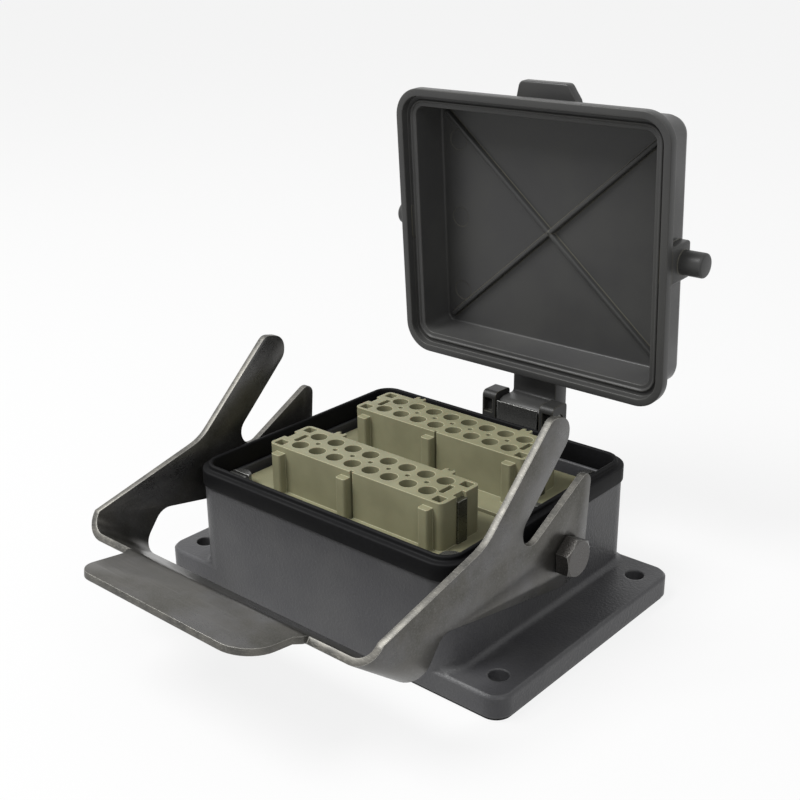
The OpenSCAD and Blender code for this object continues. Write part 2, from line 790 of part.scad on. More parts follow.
housing();
rim_seal();
flange_seal();
insert_front();
insert_rear();
sockets_front();
sockets_rear();
earth_clips_front();
earth_clips_rear();
fixing_screws_front();
fixing_screws_rear();
terminal_screws_front();
terminal_screws_rear();
pivot_bolt_left();
pivot_bolt_right();
hinge_bracket();
hinge_pin();
hinge_spring();
bracket_screws();
locking_lever();
cover();
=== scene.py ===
"""Looks of an open rectangular connector: a bulkhead housing with two inserts,
its folded steel locking lever and its hinged protective cover.

Sizes are written in millimetres and made metres by MM."""
import json
import math

import bmesh
import bpy
from mathutils import Matrix, Vector


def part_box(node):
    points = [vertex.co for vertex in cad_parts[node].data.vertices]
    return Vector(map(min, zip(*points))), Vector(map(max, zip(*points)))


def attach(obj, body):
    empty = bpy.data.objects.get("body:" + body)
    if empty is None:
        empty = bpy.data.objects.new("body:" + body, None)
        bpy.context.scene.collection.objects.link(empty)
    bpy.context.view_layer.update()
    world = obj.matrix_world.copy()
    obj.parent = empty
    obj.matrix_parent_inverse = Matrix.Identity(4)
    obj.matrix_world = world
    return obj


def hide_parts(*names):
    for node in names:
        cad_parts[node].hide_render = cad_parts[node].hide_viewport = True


MM = 0.001
SEAM = 1e-6                 # corners closer than this are joined, in metres
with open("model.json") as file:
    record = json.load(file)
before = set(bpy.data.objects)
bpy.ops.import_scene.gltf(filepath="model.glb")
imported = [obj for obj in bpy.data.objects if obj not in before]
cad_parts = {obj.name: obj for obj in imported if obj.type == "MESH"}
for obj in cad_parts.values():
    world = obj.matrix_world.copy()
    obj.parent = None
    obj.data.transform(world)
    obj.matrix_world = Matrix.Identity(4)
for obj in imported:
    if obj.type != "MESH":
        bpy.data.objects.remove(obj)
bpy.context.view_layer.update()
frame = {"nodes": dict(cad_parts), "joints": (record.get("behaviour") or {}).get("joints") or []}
joints = {joint["name"]: joint for joint in frame["joints"]}


# ---- Shader maths -------------------------------------------------------------

class Value:
    """The output of a shader node, which can be used in arithmetic."""

    def __init__(self, finish, socket):
        self.finish, self.socket = finish, socket

    def maths(self, operation, first, second):
        return self.finish.node("Math", {"operation": operation}, {0: first, 1: second})

    def __add__(self, other):
        return self.maths("ADD", self, other)

    def __radd__(self, other):
        return self.maths("ADD", other, self)

    def __sub__(self, other):
        return self.maths("SUBTRACT", self, other)

    def __rsub__(self, other):
        return self.maths("SUBTRACT", other, self)

    def __mul__(self, other):
        return self.maths("MULTIPLY", self, other)

    def __rmul__(self, other):
        return self.maths("MULTIPLY", other, self)


class Finish:
    """A material and the nodes that make it."""

    def __init__(self, name):
        self.material = bpy.data.materials.new(name)
        self.material.use_nodes = True
        self.nodes = self.material.node_tree.nodes
        self.links = self.material.node_tree.links
        self.shader = self.nodes["Principled BSDF"]
        self.place = self.node("TexCoord", {}, {}, "Object")

    def node(self, kind, settings, inputs, output=0):
        made = self.nodes.new("ShaderNode" + kind)
        for name, setting in settings.items():
            setattr(made, name, setting)
        for name, value in inputs.items():
            self.put(made.inputs[name], value)
        return Value(self, made.outputs[output])

    def put(self, socket, value):
        if isinstance(value, Value):
            self.links.new(value.socket, socket)
        else:
            socket.default_value = value

    def noise(self, size, detail, stretch=(1, 1, 1), rough=0.5):
        """Soft grains of about the given size in millimetres, from 0 to 1."""
        scale = [factor / (size * MM) for factor in stretch]
        place = self.node("Mapping", {}, {"Vector": self.place, "Scale": scale})
        return self.node("TexNoise", {}, {
            "Vector": place, "Scale": 1.0, "Detail": detail, "Roughness": rough})

    def between(self, value, low, high, to_low=0.0, to_high=1.0):
        """The stretch of the value from low to high, spread smoothly over a new range."""
        return self.node("MapRange", {"interpolation_type": "SMOOTHSTEP"}, {
            "Value": value, "From Min": low, "From Max": high, "To Min": to_low, "To Max": to_high})

    def blend(self, factor, first, second):
        return self.node("Mix", {"data_type": "RGBA"}, {0: factor, 6: first, 7: second}, 2)

    def edges(self, width):
        """The softened normal of the edges, and a mask that is 1 on them."""
        soft = self.node("Bevel", {"samples": 8}, {"Radius": width * MM})
        true = self.node("NewGeometry", {}, {}, "Normal")
        turn = self.node("VectorMath", {"operation": "DOT_PRODUCT"}, {0: soft, 1: true}, "Value")
        return soft, self.between(turn, 0.999, 0.93)

    def finish(self, colour, rough, bump, depth, normal=None, **constants):
        """Fill the shader; depth is the height of the bumps in millimetres."""
        inputs = {"Height": bump, "Distance": depth * MM, "Strength": 1.0}
        if normal is not None:
            inputs["Normal"] = normal
        self.put(self.shader.inputs["Base Color"], colour)
        self.put(self.shader.inputs["Roughness"], rough)
        self.put(self.shader.inputs["Normal"], self.node("Bump", {}, inputs))
        for name, value in constants.items():
            self.put(self.shader.inputs[name.replace("_", " ")], value)
        return self.material


def tint(red, green=None, blue=None):
    """A colour as it is seen, in levels from 0 to 255; one level alone is a grey."""
    def linear(level):
        share = level / 255
        return share / 12.92 if share <= 0.04045 else ((share + 0.055) / 1.055) ** 2.4

    green = red if green is None else green
    blue = green if blue is None else blue
    return linear(red), linear(green), linear(blue), 1


# ---- Finishes -----------------------------------------------------------------

def powder_coat():
    """Dark paint with a fine orange peel; its edges are painted lighter, partly as rubbed paint and
    partly as a painted highlight.
    """
    f = Finish("powder_coat")
    soft, edge = f.edges(0.9)
    orange_peel = f.noise(0.8, 2.0)
    fine = f.noise(0.28, 1.0)
    patch = f.noise(14, 2.0)
    tone = f.blend(f.between(patch, 0.35, 0.7), tint(63, 63, 65), tint(69, 69, 70))
    # the edges are lightened: partly rubbed paint, partly a painted highlight
    tone = f.blend(edge * 0.25, tone, tint(100))
    rough = f.between(fine, 0.2, 0.8, 0.34, 0.46)
    return f.finish(tone, rough, orange_peel + fine * 0.4, 0.11, soft, Specular_IOR_Level=0.3)


def black_rubber():
    f = Finish("black_rubber")
    soft, edge = f.edges(0.5)
    dust = f.noise(1.2, 5.0)
    bloom = f.noise(18, 3.0)
    tone = f.blend(f.between(dust * bloom, 0.2, 0.5), tint(9, 9, 10), tint(15, 15, 17))
    # the edges are lightened as a painted highlight
    tone = f.blend(edge * 0.15, tone, tint(34))
    rough = f.between(bloom, 0.3, 0.7, 0.55, 0.68)
    return f.finish(tone, rough, dust, 0.012, soft, Specular_IOR_Level=0.12)


def insert_plastic():
    f = Finish("insert_plastic")
    soft, edge = f.edges(0.35)
    cloud = f.noise(9, 3.0)
    grain = f.noise(0.35, 2.0)
    tone = f.blend(f.between(cloud, 0.3, 0.7), tint(117, 115, 91), tint(126, 124, 99))
    # the edges are lightened as a painted glint
    tone = f.blend(edge * 0.5, tone, tint(176, 173, 143))
    rough = f.between(grain, 0.3, 0.7, 0.40, 0.50)
    return f.finish(tone, rough, grain, 0.012, soft, Specular_IOR_Level=0.3,
                    Subsurface_Weight=0.04, Subsurface_Scale=0.002)


def cover_plastic(name, darker=0):
    f = Finish(name)
    soft, edge = f.edges(0.45)
    cloud = f.noise(22, 3.0)
    grain = f.noise(0.5, 2.0)
    tone = f.blend(f.between(cloud, 0.3, 0.7), tint(56 - darker),
                   tint(61 - darker, 61 - darker, 60 - darker))
    # the edges are lightened towards olive as a painted sheen
    tone = f.blend(edge * 0.55, tone, tint(86 - darker, 83 - darker, 69 - darker))
    rough = f.between(cloud + grain * 0.2, 0.4, 0.8, 0.30, 0.42)
    return f.finish(tone, rough, grain, 0.01, soft, Specular_IOR_Level=0.22)


def sheet_steel():
    """Rolled sheet with fine clouds and scratches, paler and smoother in patches: partly handling
    wear, partly a painted sheen.
    """
    f = Finish("sheet_steel")
    mill = f.noise(0.35, 3.0)
    cloud = f.noise(6, 5.0, rough=0.6)
    scratch = f.noise(0.8, 2.0, (0.05, 1, 1))
    wear_and_sheen = f.noise(26, 4.0, rough=0.6)
    tone = f.blend(f.between(cloud, 0.25, 0.75), tint(74, 73, 68), tint(87, 85, 81))
    # paler patches: partly handling wear, partly a painted sheen
    tone = f.blend(f.between(wear_and_sheen, 0.44, 0.62) * 0.55, tone, tint(100, 100, 102))
    tone = f.blend(f.between(scratch, 0.55, 0.75) * 0.22, tone, tint(124, 123, 121))
    tone = f.blend(f.between(mill, 0.42, 0.62) * 0.25, tone, tint(112, 111, 108))
    dull = f.between(cloud * 0.4 + mill * 0.6, 0.35, 0.65, 0.28, 0.38)
    rough = dull - f.between(wear_and_sheen, 0.5, 0.7) * 0.05
    return f.finish(tone, rough, mill + scratch * 0.5, 0.008, Metallic=0.85)


def cut_steel():
    """The sheared edges of the sheet, with fine tears lightened in flecks as painted glints, and a
    bright edge that is partly a burr and partly a painted highlight.
    """
    f = Finish("cut_steel")
    soft, edge = f.edges(0.3)
    tears_and_glints = f.noise(0.22, 2.0, (0.2, 1, 1))
    patch = f.noise(4, 2.0)
    tone = f.blend(f.between(patch, 0.3, 0.7), tint(78, 77, 74), tint(98, 96, 91))
    # lighter flecks along the tears: painted glints
    tone = f.blend(f.between(tears_and_glints, 0.5, 0.7) * 0.3, tone, tint(150, 148, 140))
    # the edges are lightened almost to white: partly a burr, partly a painted highlight
    tone = f.blend(edge * 0.7, tone, tint(196, 194, 188))
    rough = f.between(tears_and_glints, 0.3, 0.7, 0.38, 0.55)
    return f.finish(tone, rough, tears_and_glints, 0.005, soft, Metallic=0.8)


def bright_steel(name, level, blue_less=2, green_less=0):
    f = Finish(name)
    soft, edge = f.edges(0.3)
    grain = f.noise(0.4, 3.0)
    # the edges are lightened as a painted highlight
    tone = f.blend(edge * 0.5, tint(level, level - green_less, level - blue_less),
                   tint(level + 60, level + 60, level + 56))
    rough = f.between(grain, 0.3, 0.7, 0.26, 0.38)
    return f.finish(tone, rough, grain, 0.006, soft, Metallic=0.85)


# ---- Ways of working ----------------------------------------------------------

def clear():
    """Leave edit mode, with nothing selected."""
    if bpy.context.object and bpy.context.object.mode != "OBJECT":
        bpy.ops.object.mode_set(mode="OBJECT")
    bpy.ops.object.select_all(action="DESELECT")


def take(piece):
    clear()
    bpy.context.view_layer.objects.active = piece
    piece.select_set(True)


def edit(piece):
    take(piece)
    bpy.ops.object.mode_set(mode="EDIT")


def leave():
    bpy.ops.object.mode_set(mode="OBJECT")


def named(name):
    piece = bpy.context.object
    piece.name = piece.data.name = name
    bpy.ops.object.transform_apply()
    return piece


def block(name, low, high):
    """A box between two corners, in millimetres."""
    clear()
    low, high = Vector(low) * MM, Vector(high) * MM
    bpy.ops.mesh.primitive_cube_add(size=1, location=(low + high) / 2, scale=high - low)
    return named(name)


def rod(name, start, axis, length, radius, sides=48):
    """A cylinder from the middle of its lower end along x or z, in millimetres."""
    clear()
    turn = {"x": (0, math.pi / 2, 0), "z": (0, 0, 0)}[axis]
    along = Vector([length if letter == axis else 0 for letter in "xyz"])
    bpy.ops.mesh.primitive_cone_add(
        vertices=sides, radius1=radius * MM, radius2=radius * MM,
        depth=length * MM, location=(Vector(start) + along / 2) * MM, rotation=turn)
    return named(name)


def select_all():
    bpy.ops.mesh.select_all(action="SELECT")


def pick(piece, kind, test):
    """In edit mode, select only the faces, edges or verts that pass the test.
    A face's test gets its middle and normal, an edge's its two ends, a vert's its place."""
    mesh = bmesh.from_edit_mesh(piece.data)
    for group in (mesh.verts, mesh.edges, mesh.faces):
        for part in group:
            part.select = False
    bpy.ops.mesh.select_mode(type={"faces": "FACE", "edges": "EDGE", "verts": "VERT"}[kind])
    for part in getattr(mesh, kind):
        if kind == "faces":
            chosen = test(part.calc_center_median() / MM, part.normal)
        elif kind == "edges":
            chosen = test(part.verts[0].co / MM, part.verts[1].co / MM)
        else:
            chosen = test(part.co / MM)
        if chosen:
            part.select = True
    mesh.select_flush_mode()
    bmesh.update_edit_mesh(piece.data)


def move(x=0, y=0, z=0):
    """Extrude what is selected by a distance in millimetres."""
    bpy.ops.mesh.extrude_region_move(TRANSFORM_OT_translate={"value": (x * MM, y * MM, z * MM)})


def face_outwards():
    """In edit mode, turn the faces of a closed shape outwards."""
    select_all()
    bpy.ops.mesh.normals_make_consistent(inside=False)


def thicken(piece, x=0, z=0):
    """Make a solid of a flat face."""
    edit(piece)
    select_all()
    move(x=x, z=z)
    face_outwards()
    leave()


def set_down(piece, matrix):
    """Move or turn the shape of a piece, whose origin stays at the frame's."""
    piece.matrix_world = matrix
    take(piece)
    bpy.ops.object.transform_apply()


def steps(piece, side, moves):
    """Work a flat top (side 1) or underside (side -1) by pairs of inward and upward moves."""
    level = (max if side > 0 else min)(corner.co.z for corner in piece.data.vertices) / MM
    edit(piece)
    pick(piece, "faces",
         lambda middle, normal: abs(middle.z - level) < 0.01 and normal.z * side > 0.9)
    for inward, up in moves:
        if inward:
            bpy.ops.mesh.inset(thickness=abs(inward) * MM, depth=0, use_outset=inward < 0)
        if up and inward:
            bpy.ops.transform.translate(value=(0, 0, up * MM))
        elif up:
            move(z=up)
    leave()


def round_uprights(piece, radius):
    """Round the upright edges of a block."""
    edit(piece)
    pick(piece, "edges", lambda a, b: abs(a.x - b.x) + abs(a.y - b.y) < 0.01)
    bpy.ops.mesh.bevel(offset=radius * MM, segments=12, affect="EDGES")
    leave()


def soften(piece, width, angle, segments):
    """Round a little all the edges where the surface turns by more than the angle."""
    take(piece)
    bevel = piece.modifiers.new("soften", "BEVEL")
    bevel.width, bevel.segments, bevel.limit_method = width * MM, segments, "ANGLE"
    bevel.angle_limit = math.radians(angle)
    bpy.ops.object.modifier_apply(modifier=bevel.name)
    bpy.ops.object.shade_smooth_by_angle(angle=math.radians(40))


def cut(piece, tool):
    """Take the tool's shape out of the piece."""
    take(piece)
    boolean = piece.modifiers.new("cut", "BOOLEAN")
    boolean.operation, boolean.object, boolean.solver = "DIFFERENCE", tool, "EXACT"
    bpy.ops.object.modifier_apply(modifier=boolean.name)
    bpy.data.objects.remove(tool)


def join(piece, *others):
    take(piece)
    for other in others:
        other.select_set(True)
    bpy.ops.object.join()


def mirror(piece):
    """Add the same shape on the other side of x = 0."""
    take(piece)
    twin = piece.modifiers.new("mirror", "MIRROR")
    twin.use_axis = (True, False, False)
    twin.merge_threshold = SEAM
    bpy.ops.object.modifier_apply(modifier=twin.name)


def dress(piece, *finishes):
    piece.data.materials.clear()
    for finish in finishes:
        piece.data.materials.append(finish)


# ---- Drawn outlines -----------------------------------------------------------

ARC_STEP = 0.8              # length of one straight step along a rounded corner


def heading(angle):
    return Vector((math.cos(angle), math.sin(angle)))


def rounded(corners):
    """An outline of [across, up, radius] corners as its points, corners rounded."""
    points = []
    for i, (across, up, radius) in enumerate(corners):
        here = Vector((across, up))
        if not radius:
            points.append(here)
            continue
        before = (Vector(corners[i - 1][:2]) - here).normalized()
        after = (Vector(corners[(i + 1) % len(corners)][:2]) - here).normalized()
        half = before.angle(after) / 2
        middle = here + (before + after).normalized() * radius / math.sin(half)
        first = here + before * radius / math.tan(half) - middle
        last = here + after * radius / math.tan(half) - middle
        turn = first.angle_signed(last)
        number = max(3, int(abs(turn) * radius / ARC_STEP))
        for step in range(number + 1):
            points.append(middle + Matrix.Rotation(-turn * step / number, 2) @ first)
    return points


def traced(name, points, x):
    """A flat face in the plane of y and z, drawn point by point."""
    clear()
    start = (x * MM, points[0][0] * MM, points[0][1] * MM)
    bpy.ops.mesh.primitive_plane_add(size=MM, location=start)
    piece = named(name)
    edit(piece)
    bpy.ops.mesh.select_mode(type="VERT")
    select_all()
    bpy.ops.mesh.merge(type="CENTER")
    for last, point in zip(points, points[1:]):
        move(y=point[0] - last[0], z=point[1] - last[1])
    select_all()
    bpy.ops.mesh.edge_face_add()
    leave()
    return piece


def from_side(name, corners, x0, x1):
    """A bar with the given side view, from x0 to x1."""
    piece = traced(name, rounded(corners), x0)
    thicken(piece, x=x1 - x0)
    return piece


def from_above(name, corners, z, height):
    """A plate with the given outline seen from above."""
    piece = traced(name, rounded(corners), 0)
    set_down(piece, Matrix(((0, 1, 0, 0), (0, 0, 1, 0), (1, 0, 0, z * MM), (0, 0, 0, 1))))
    thicken(piece, z=height)
    return piece


# ---- Sizes taken from the solids ----------------------------------------------

def size_of(node):
    low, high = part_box(node)
    return low / MM, high / MM


rim_low, rim_high = size_of("rim_seal")
lever_pivot = Vector(joints["lever_swing"]["pos_m"]) / MM
hinge_pin = Vector(joints["cover_swing"]["pos_m"]) / MM
lever_travel = math.radians(joints["lever_swing"]["range_deg"][1])
cover_travel = math.radians(joints["cover_swing"]["range_deg"][1])

paint = powder_coat()
rubber = black_rubber()
beige = insert_plastic()
moulding = cover_plastic("cover_plastic")
bracket_moulding = cover_plastic("bracket_plastic", 16)
sheet = sheet_steel()
sheared = cut_steel()
bolt_steel = bright_steel("bolt_steel", 80, 4, 2)
silver = bright_steel("contact_silver", 165, 6)
clip_steel = bright_steel("clip_steel", 96, 14)
screw_steel = bright_steel("screw_steel", 110, 2)


# ---- Rubber rim ---------------------------------------------------------------

SHOULDER = 1.8              # width of the shoulder
BEAD, BEAD_RISE = 1.2, 1.4  # width of the sealing bead, and its height over the shoulder


def rubber_rim():
    """A skirt on the walls, a shoulder for the cover's lip and a sealing bead inside it."""
    rim = block("rim", rim_low, (rim_high.x, rim_high.y, rim_high.z - BEAD_RISE))
    round_uprights(rim, 7.5)
    steps(rim, 1, [(SHOULDER, 0), (0, BEAD_RISE), (BEAD, 0), (0, rim_low.z - rim_high.z)])
    steps(rim, -1, [(SHOULDER + BEAD, 0)])

    # the two faces that close the middle are opened, and the walls around them meet
    edit(rim)
    pick(rim, "faces", lambda middle, normal:
         abs(middle.z - rim_low.z) < 0.01 and abs(middle.x) < 1 and abs(middle.y) < 1)
    bpy.ops.mesh.delete(type="ONLY_FACE")
    select_all()
    bpy.ops.mesh.remove_doubles(threshold=SEAM)
    leave()
    soften(rim, 0.45, 35, 3)
    dress(rim, rubber)
    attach(rim, "housing")
    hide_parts("rim_seal")


# ---- Locking lever ------------------------------------------------------------
# Its side view is drawn from the pivot, as the lever stands open.

LEVER_SHEET = 2.0
BEND = 6.0                  # radius of the two bends, at the middle of the sheet
PIVOT_HOLE_R = 4.05

BAR_TOP, BAR_WIDTH = Vector((-74.9, 3.3)), 20.6     # the cross bar's upper edge and width
BAR_SLOPE = math.radians(38)
DOWN_BAR, INTO_ARM = heading(-BAR_SLOPE), heading(math.pi / 2 - BAR_SLOPE)
KNEE = 12.4                 # the arm's depth behind the bar's lower edge

PEG_REACH = 20.6            # from the pivot to the cover's peg, with the cover closed
POCKET_R = 4.4              # the round end of the hook, which holds the peg
POCKET_DRAW = 0.35          # how much nearer to the pivot the pocket is
POCKET_STEPS = 14
UPPER_JAW, UPPER_SLOPE = 24, math.radians(43.2)
LOWER_JAW, LOWER_RISE = 27.4, 0.5   # the lower jaw comes nearer to the peg towards its tip
EYE_R, EYE_START, EYE_TURN, EYE_STEPS = 9.4, -9, -92, 12    # outline around the pivot

THUMB_RISE = math.radians(8)
THUMB_FOLD = 3.0            # radius of the fold
THUMB_HALF = 31             # half the width of the plate
THUMB_NECK, THUMB_NECK_RUN = 32.4, 2.0      # half its width at the fold, and for how long
THUMB_CORNERS = {-1: 5, 1: 9}       # radius on each side


def arm_outline():
    """One arm, started with the two ends of the edge that the bar is bent from."""
    bar_low = BAR_TOP + BAR_WIDTH * DOWN_BAR
    bend_start = (BEND - LEVER_SHEET / 2) * INTO_ARM

    # the pocket holds the peg when the lever is closed; the jaws lead the peg to it
    pocket = (PEG_REACH - POCKET_DRAW) * heading(math.pi / 2 + lever_travel)
    to_peg = Vector((0, PEG_REACH)) - pocket
    lower_slope = math.atan2(to_peg.y, to_peg.x) + math.asin(LOWER_RISE / to_peg.length)
    arc_start, arc_turn = UPPER_SLOPE + math.pi / 2, math.pi - UPPER_SLOPE + lower_slope
    slot = [pocket + POCKET_R * heading(arc_start + arc_turn * i / POCKET_STEPS)
            for i in range(POCKET_STEPS + 1)]
    upper_tip = slot[0] + UPPER_JAW * heading(UPPER_SLOPE)
    lower_tip = slot[-1] + LOWER_JAW * heading(lower_slope)
    eye = [EYE_R * heading(math.radians(EYE_START + EYE_TURN * i / EYE_STEPS))
           for i in range(EYE_STEPS + 1)]
    return rounded([
        [*(bar_low + bend_start), 0], [*(BAR_TOP + bend_start), 0],
        [-34.7, 16.3, 14], [-8.0, 40.8, 3], [-0.2, 39, 4.5],
        [*upper_tip, 4], *[[*point, 0] for point in slot], [*lower_tip, 2.6],
        *[[*point, 0] for point in eye], [*(bar_low + KNEE * INTO_ARM), 5]])


def locking_lever():
    low, high = size_of("locking_lever")
    arm_x = high.x - LEVER_SHEET / 2
    lift = Vector((lever_pivot.y, lever_pivot.z))
    outline = [point + lift for point in arm_outline()]
    lever = traced("lever", outline, arm_x)

    # the arm's front edge is bent inwards and run to the middle as the cross bar
    front_ends = outline[0] + outline[1]
    edit(lever)
    pick(lever, "edges", lambda a, b:
         (a - b).length > 15 and (a.yz + b.yz - front_ends).length < 0.1)
    bend_axis = Vector((0, DOWN_BAR.x, DOWN_BAR.y))
    bend_place = Vector((arm_x - BEND, *outline[0])) * MM
    bpy.ops.mesh.spin(steps=10, angle=-math.pi / 2, center=bend_place, axis=bend_axis)
    move(x=THUMB_NECK - (arm_x - BEND))
    move(x=-THUMB_NECK)

    # the middle of the bar's upper edge is turned forward as the thumb plate
    edge_y, edge_z = BAR_TOP - LEVER_SHEET / 2 * INTO_ARM + lift
    pick(lever, "edges", lambda a, b:
         max(a.x, b.x) < THUMB_NECK + 0.1 and abs(a.y - b.y) < 0.01
         and abs(a.y - edge_y) < 0.3 and abs(a.z - edge_z) < 0.3)
    fold_y, fold_z = edge_y - THUMB_FOLD * INTO_ARM.x, edge_z - THUMB_FOLD * INTO_ARM.y
    bpy.ops.mesh.spin(steps=5, angle=THUMB_RISE - BAR_SLOPE,
                      center=Vector((0, fold_y, fold_z)) * MM, axis=(1, 0, 0))
    along = Vector((0, -math.cos(THUMB_RISE), math.sin(THUMB_RISE)))
    move(*(along * THUMB_NECK_RUN))
    bpy.ops.transform.resize(value=(THUMB_HALF / THUMB_NECK, 1, 1), center_override=(0, 0, 0))
    thumb_start = min(corner.co.y for corner in bmesh.from_edit_mesh(lever.data).verts) / MM
    thumb_end = low.y + math.sin(THUMB_RISE) * LEVER_SHEET / 2
    move(*(along * ((thumb_start - thumb_end) / math.cos(THUMB_RISE))))
    leave()
    mirror(lever)
    for side, radius in THUMB_CORNERS.items():
        edit(lever)
        pick(lever, "verts", lambda at: at.y < low.y + 0.5 and at.x * side > 20)
        bpy.ops.mesh.bevel(offset=radius * MM, segments=10, affect="VERTICES")
        leave()

    # the sheet gets its thickness, with a finish of their own on the cut edges
    thick = lever.modifiers.new("sheet", "SOLIDIFY")
    thick.thickness, thick.offset, thick.use_even_offset = LEVER_SHEET * MM, 0, True
    thick.material_offset_rim = 1
    dress(lever, sheet, sheared)
    take(lever)
    bpy.ops.object.modifier_apply(modifier=thick.name)
    edit(lever)
    face_outwards()
    leave()
    cut(lever, rod("pivot_hole", (-70, lever_pivot.y, lever_pivot.z), "x", 140, PIVOT_HOLE_R))
    soften(lever, 0.18, 50, 2)
    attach(lever, "lever")
    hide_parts("locking_lever")


# ---- Cover --------------------------------------------------------------------

COVER_L, COVER_D, COVER_H = 96.0, 86.0, 16.95
BAND = 3.2                  # height of the wide band along the edge
COVER_STEP = 3.3            # the box stands this far inside the band
TOP_ROUND = 3.0             # height of the rounded edge of the top
HOLLOW_L, HOLLOW_D = COVER_L - 2 * COVER_STEP - 5, COVER_D - 2 * COVER_STEP - 5
HOLLOW_FLOOR = COVER_H - 2.5        # the sheet over the hollow is 2.5 thick
LEDGE = 2.6                 # the ledge that presses on the bead, inside the edge
SEAL_RIB = 0.5              # height of the low rib on the ledge
FILLET = 0.5                # around the hollow's floor
EDGE_GAP = 0.1              # between the edge and the rim's shoulder, when closed

RIB_HALF, RIB_RISE = 1.0, 1.5
PIN_MARK_R, PIN_MARK_DEPTH = 3.2, 0.08
PEG_BACK = 9.5              # pegs behind the edge
PEG_R, PEG_END = 3.6, 55    # radius, and how far from the middle they reach
PEG_PAD_HALF = 5.5
TAB_TOP, TAB_SHEET = COVER_H - 2.0, 3.2
HINGE_ARM_HALF, HINGE_HOLE_R = 8.1, 2.05


def crossed_ribs():
    """Two low ribs from corner to corner of the hollow's floor."""
    run_l, run_d = HOLLOW_L - 6, HOLLOW_D - 6
    slant, length = math.atan2(run_d, run_l), math.hypot(run_d, run_l)
    ribs = []
    for side in (-1, 1):
        rib = block("rib", (-length / 2, -RIB_HALF, HOLLOW_FLOOR - RIB_RISE),
                    (length / 2, RIB_HALF, HOLLOW_FLOOR + 0.4))
        edit(rib)
        pick(rib, "faces", lambda middle, normal: normal.z < -0.9)
        bpy.ops.transform.resize(value=(0.99, 0.6, 1), center_override=(0, 0, HOLLOW_FLOOR * MM))
        leave()
        set_down(rib, Matrix.Rotation(side * slant, 4, "Z"))
        soften(rib, 0.35, 30, 3)
        ribs.append(rib)
    return ribs


def pegs():
    """The two pegs that the lever's hooks hold, each on its pad."""
    made = []
    root = COVER_L / 2 - 1
    for side in (-1, 1):
        inner, face = side * (COVER_L / 2 - COVER_STEP - 1), side * COVER_L / 2
        pad = block("peg_pad", (min(inner, face), -PEG_PAD_HALF, PEG_BACK - 7.0),
                    (max(inner, face), PEG_PAD_HALF, PEG_BACK + 4.0))
        soften(pad, 0.8, 30, 3)
        start = (min(side * root, side * PEG_END), 0, PEG_BACK)
        peg = rod("peg", start, "x", PEG_END - root, PEG_R)
        soften(peg, 0.7, 30, 3)
        made += [pad, peg]
    return made


def pull_tab():
    tab = from_above("pull_tab", [
        [-12, 0, 0], [-10.6, -2.2, 1.2], [-9.4, -7, 1.8],
        [7.8, -7, 1.8], [10.5, -2.5, 1.5], [12, 0, 0]], TAB_TOP - TAB_SHEET, TAB_SHEET)
    set_down(tab, Matrix.Translation((0, (COVER_STEP + 1 - COVER_D / 2) * MM, 0)))
    soften(tab, 0.5, 40, 3)
    return tab


def hinge_arm():
    """The arm that reaches from the knuckle to the back of the box, as it stands open."""
    y, z = hinge_pin.y, hinge_pin.z
    front, back, end, knuckle = y + 5.3, y + 11.6, z + 17.2, 3.3
    arm = from_side("hinge_arm", [
        [back, z - knuckle, 3], [back, end, 0], [front, end, 0], [front, z + knuckle, 1],
        [y - knuckle, z + knuckle, 3.2], [y - knuckle, z - knuckle, 3.2]],
        -HINGE_ARM_HALF, HINGE_ARM_HALF)
    cut(arm, rod("pin_hole", (-20, y, z), "x", 40, HINGE_HOLE_R))
    soften(arm, 0.3, 40, 2)
    return arm


def protective_cover():
    """Modelled closed, edge down on z = 0, then turned open about its hinge."""
    cover = block("cover_shell", (-COVER_L / 2, -COVER_D / 2, 0), (COVER_L / 2, COVER_D / 2, BAND))
    round_uprights(cover, 9)
    steps(cover, 1, [(COVER_STEP, 0), (0, COVER_H - BAND - TOP_ROUND), (0.8, 2.1), (1.7, 0.9)])
    steps(cover, -1, [
        (2.3, 0), (0, LEDGE), (1.3, 0), (0.2, -SEAL_RIB), (0.5, 0), (0.2, SEAL_RIB), (1.3, 0),
        (0.6, HOLLOW_FLOOR - LEDGE - FILLET), (0.4, FILLET)])
    soften(cover, 0.5, 40, 3)

    # faint round marks of the mould's ejector pins on the hollow's floor
    for y in (-25, 0, 25):
        cut(cover, rod("pin_mark", (-35, y, HOLLOW_FLOOR - 1), "z", 1 + PIN_MARK_DEPTH,
                       PIN_MARK_R, 32))

    join(cover, *crossed_ribs(), *pegs(), pull_tab())
    edge_z = rim_high.z - BEAD_RISE + EDGE_GAP
    pin = Vector((0, hinge_pin.y, hinge_pin.z - edge_z)) * MM
    set_down(cover, Matrix.Translation(hinge_pin * MM)
             @ Matrix.Rotation(-cover_travel, 4, "X") @ Matrix.Translation(-pin))
    join(cover, hinge_arm())
    dress(cover, moulding)
    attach(cover, "cover")
    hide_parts("cover")


# ---- Screws that hold the inserts ---------------------------------------------

HEAD_R, HEAD = 3.4, 2.9     # radius and height of the head
HEAD_SLOT_HALF, HEAD_SLOT_DEPTH = 0.5, 1.4
WASHER_R, WASHER, WASHER_GAP_HALF = 3.55, 0.9, 0.3
SEAT_DEPTH = 2.4            # the washer's seat, below the top of the solid head
SHANK_R = 1.95


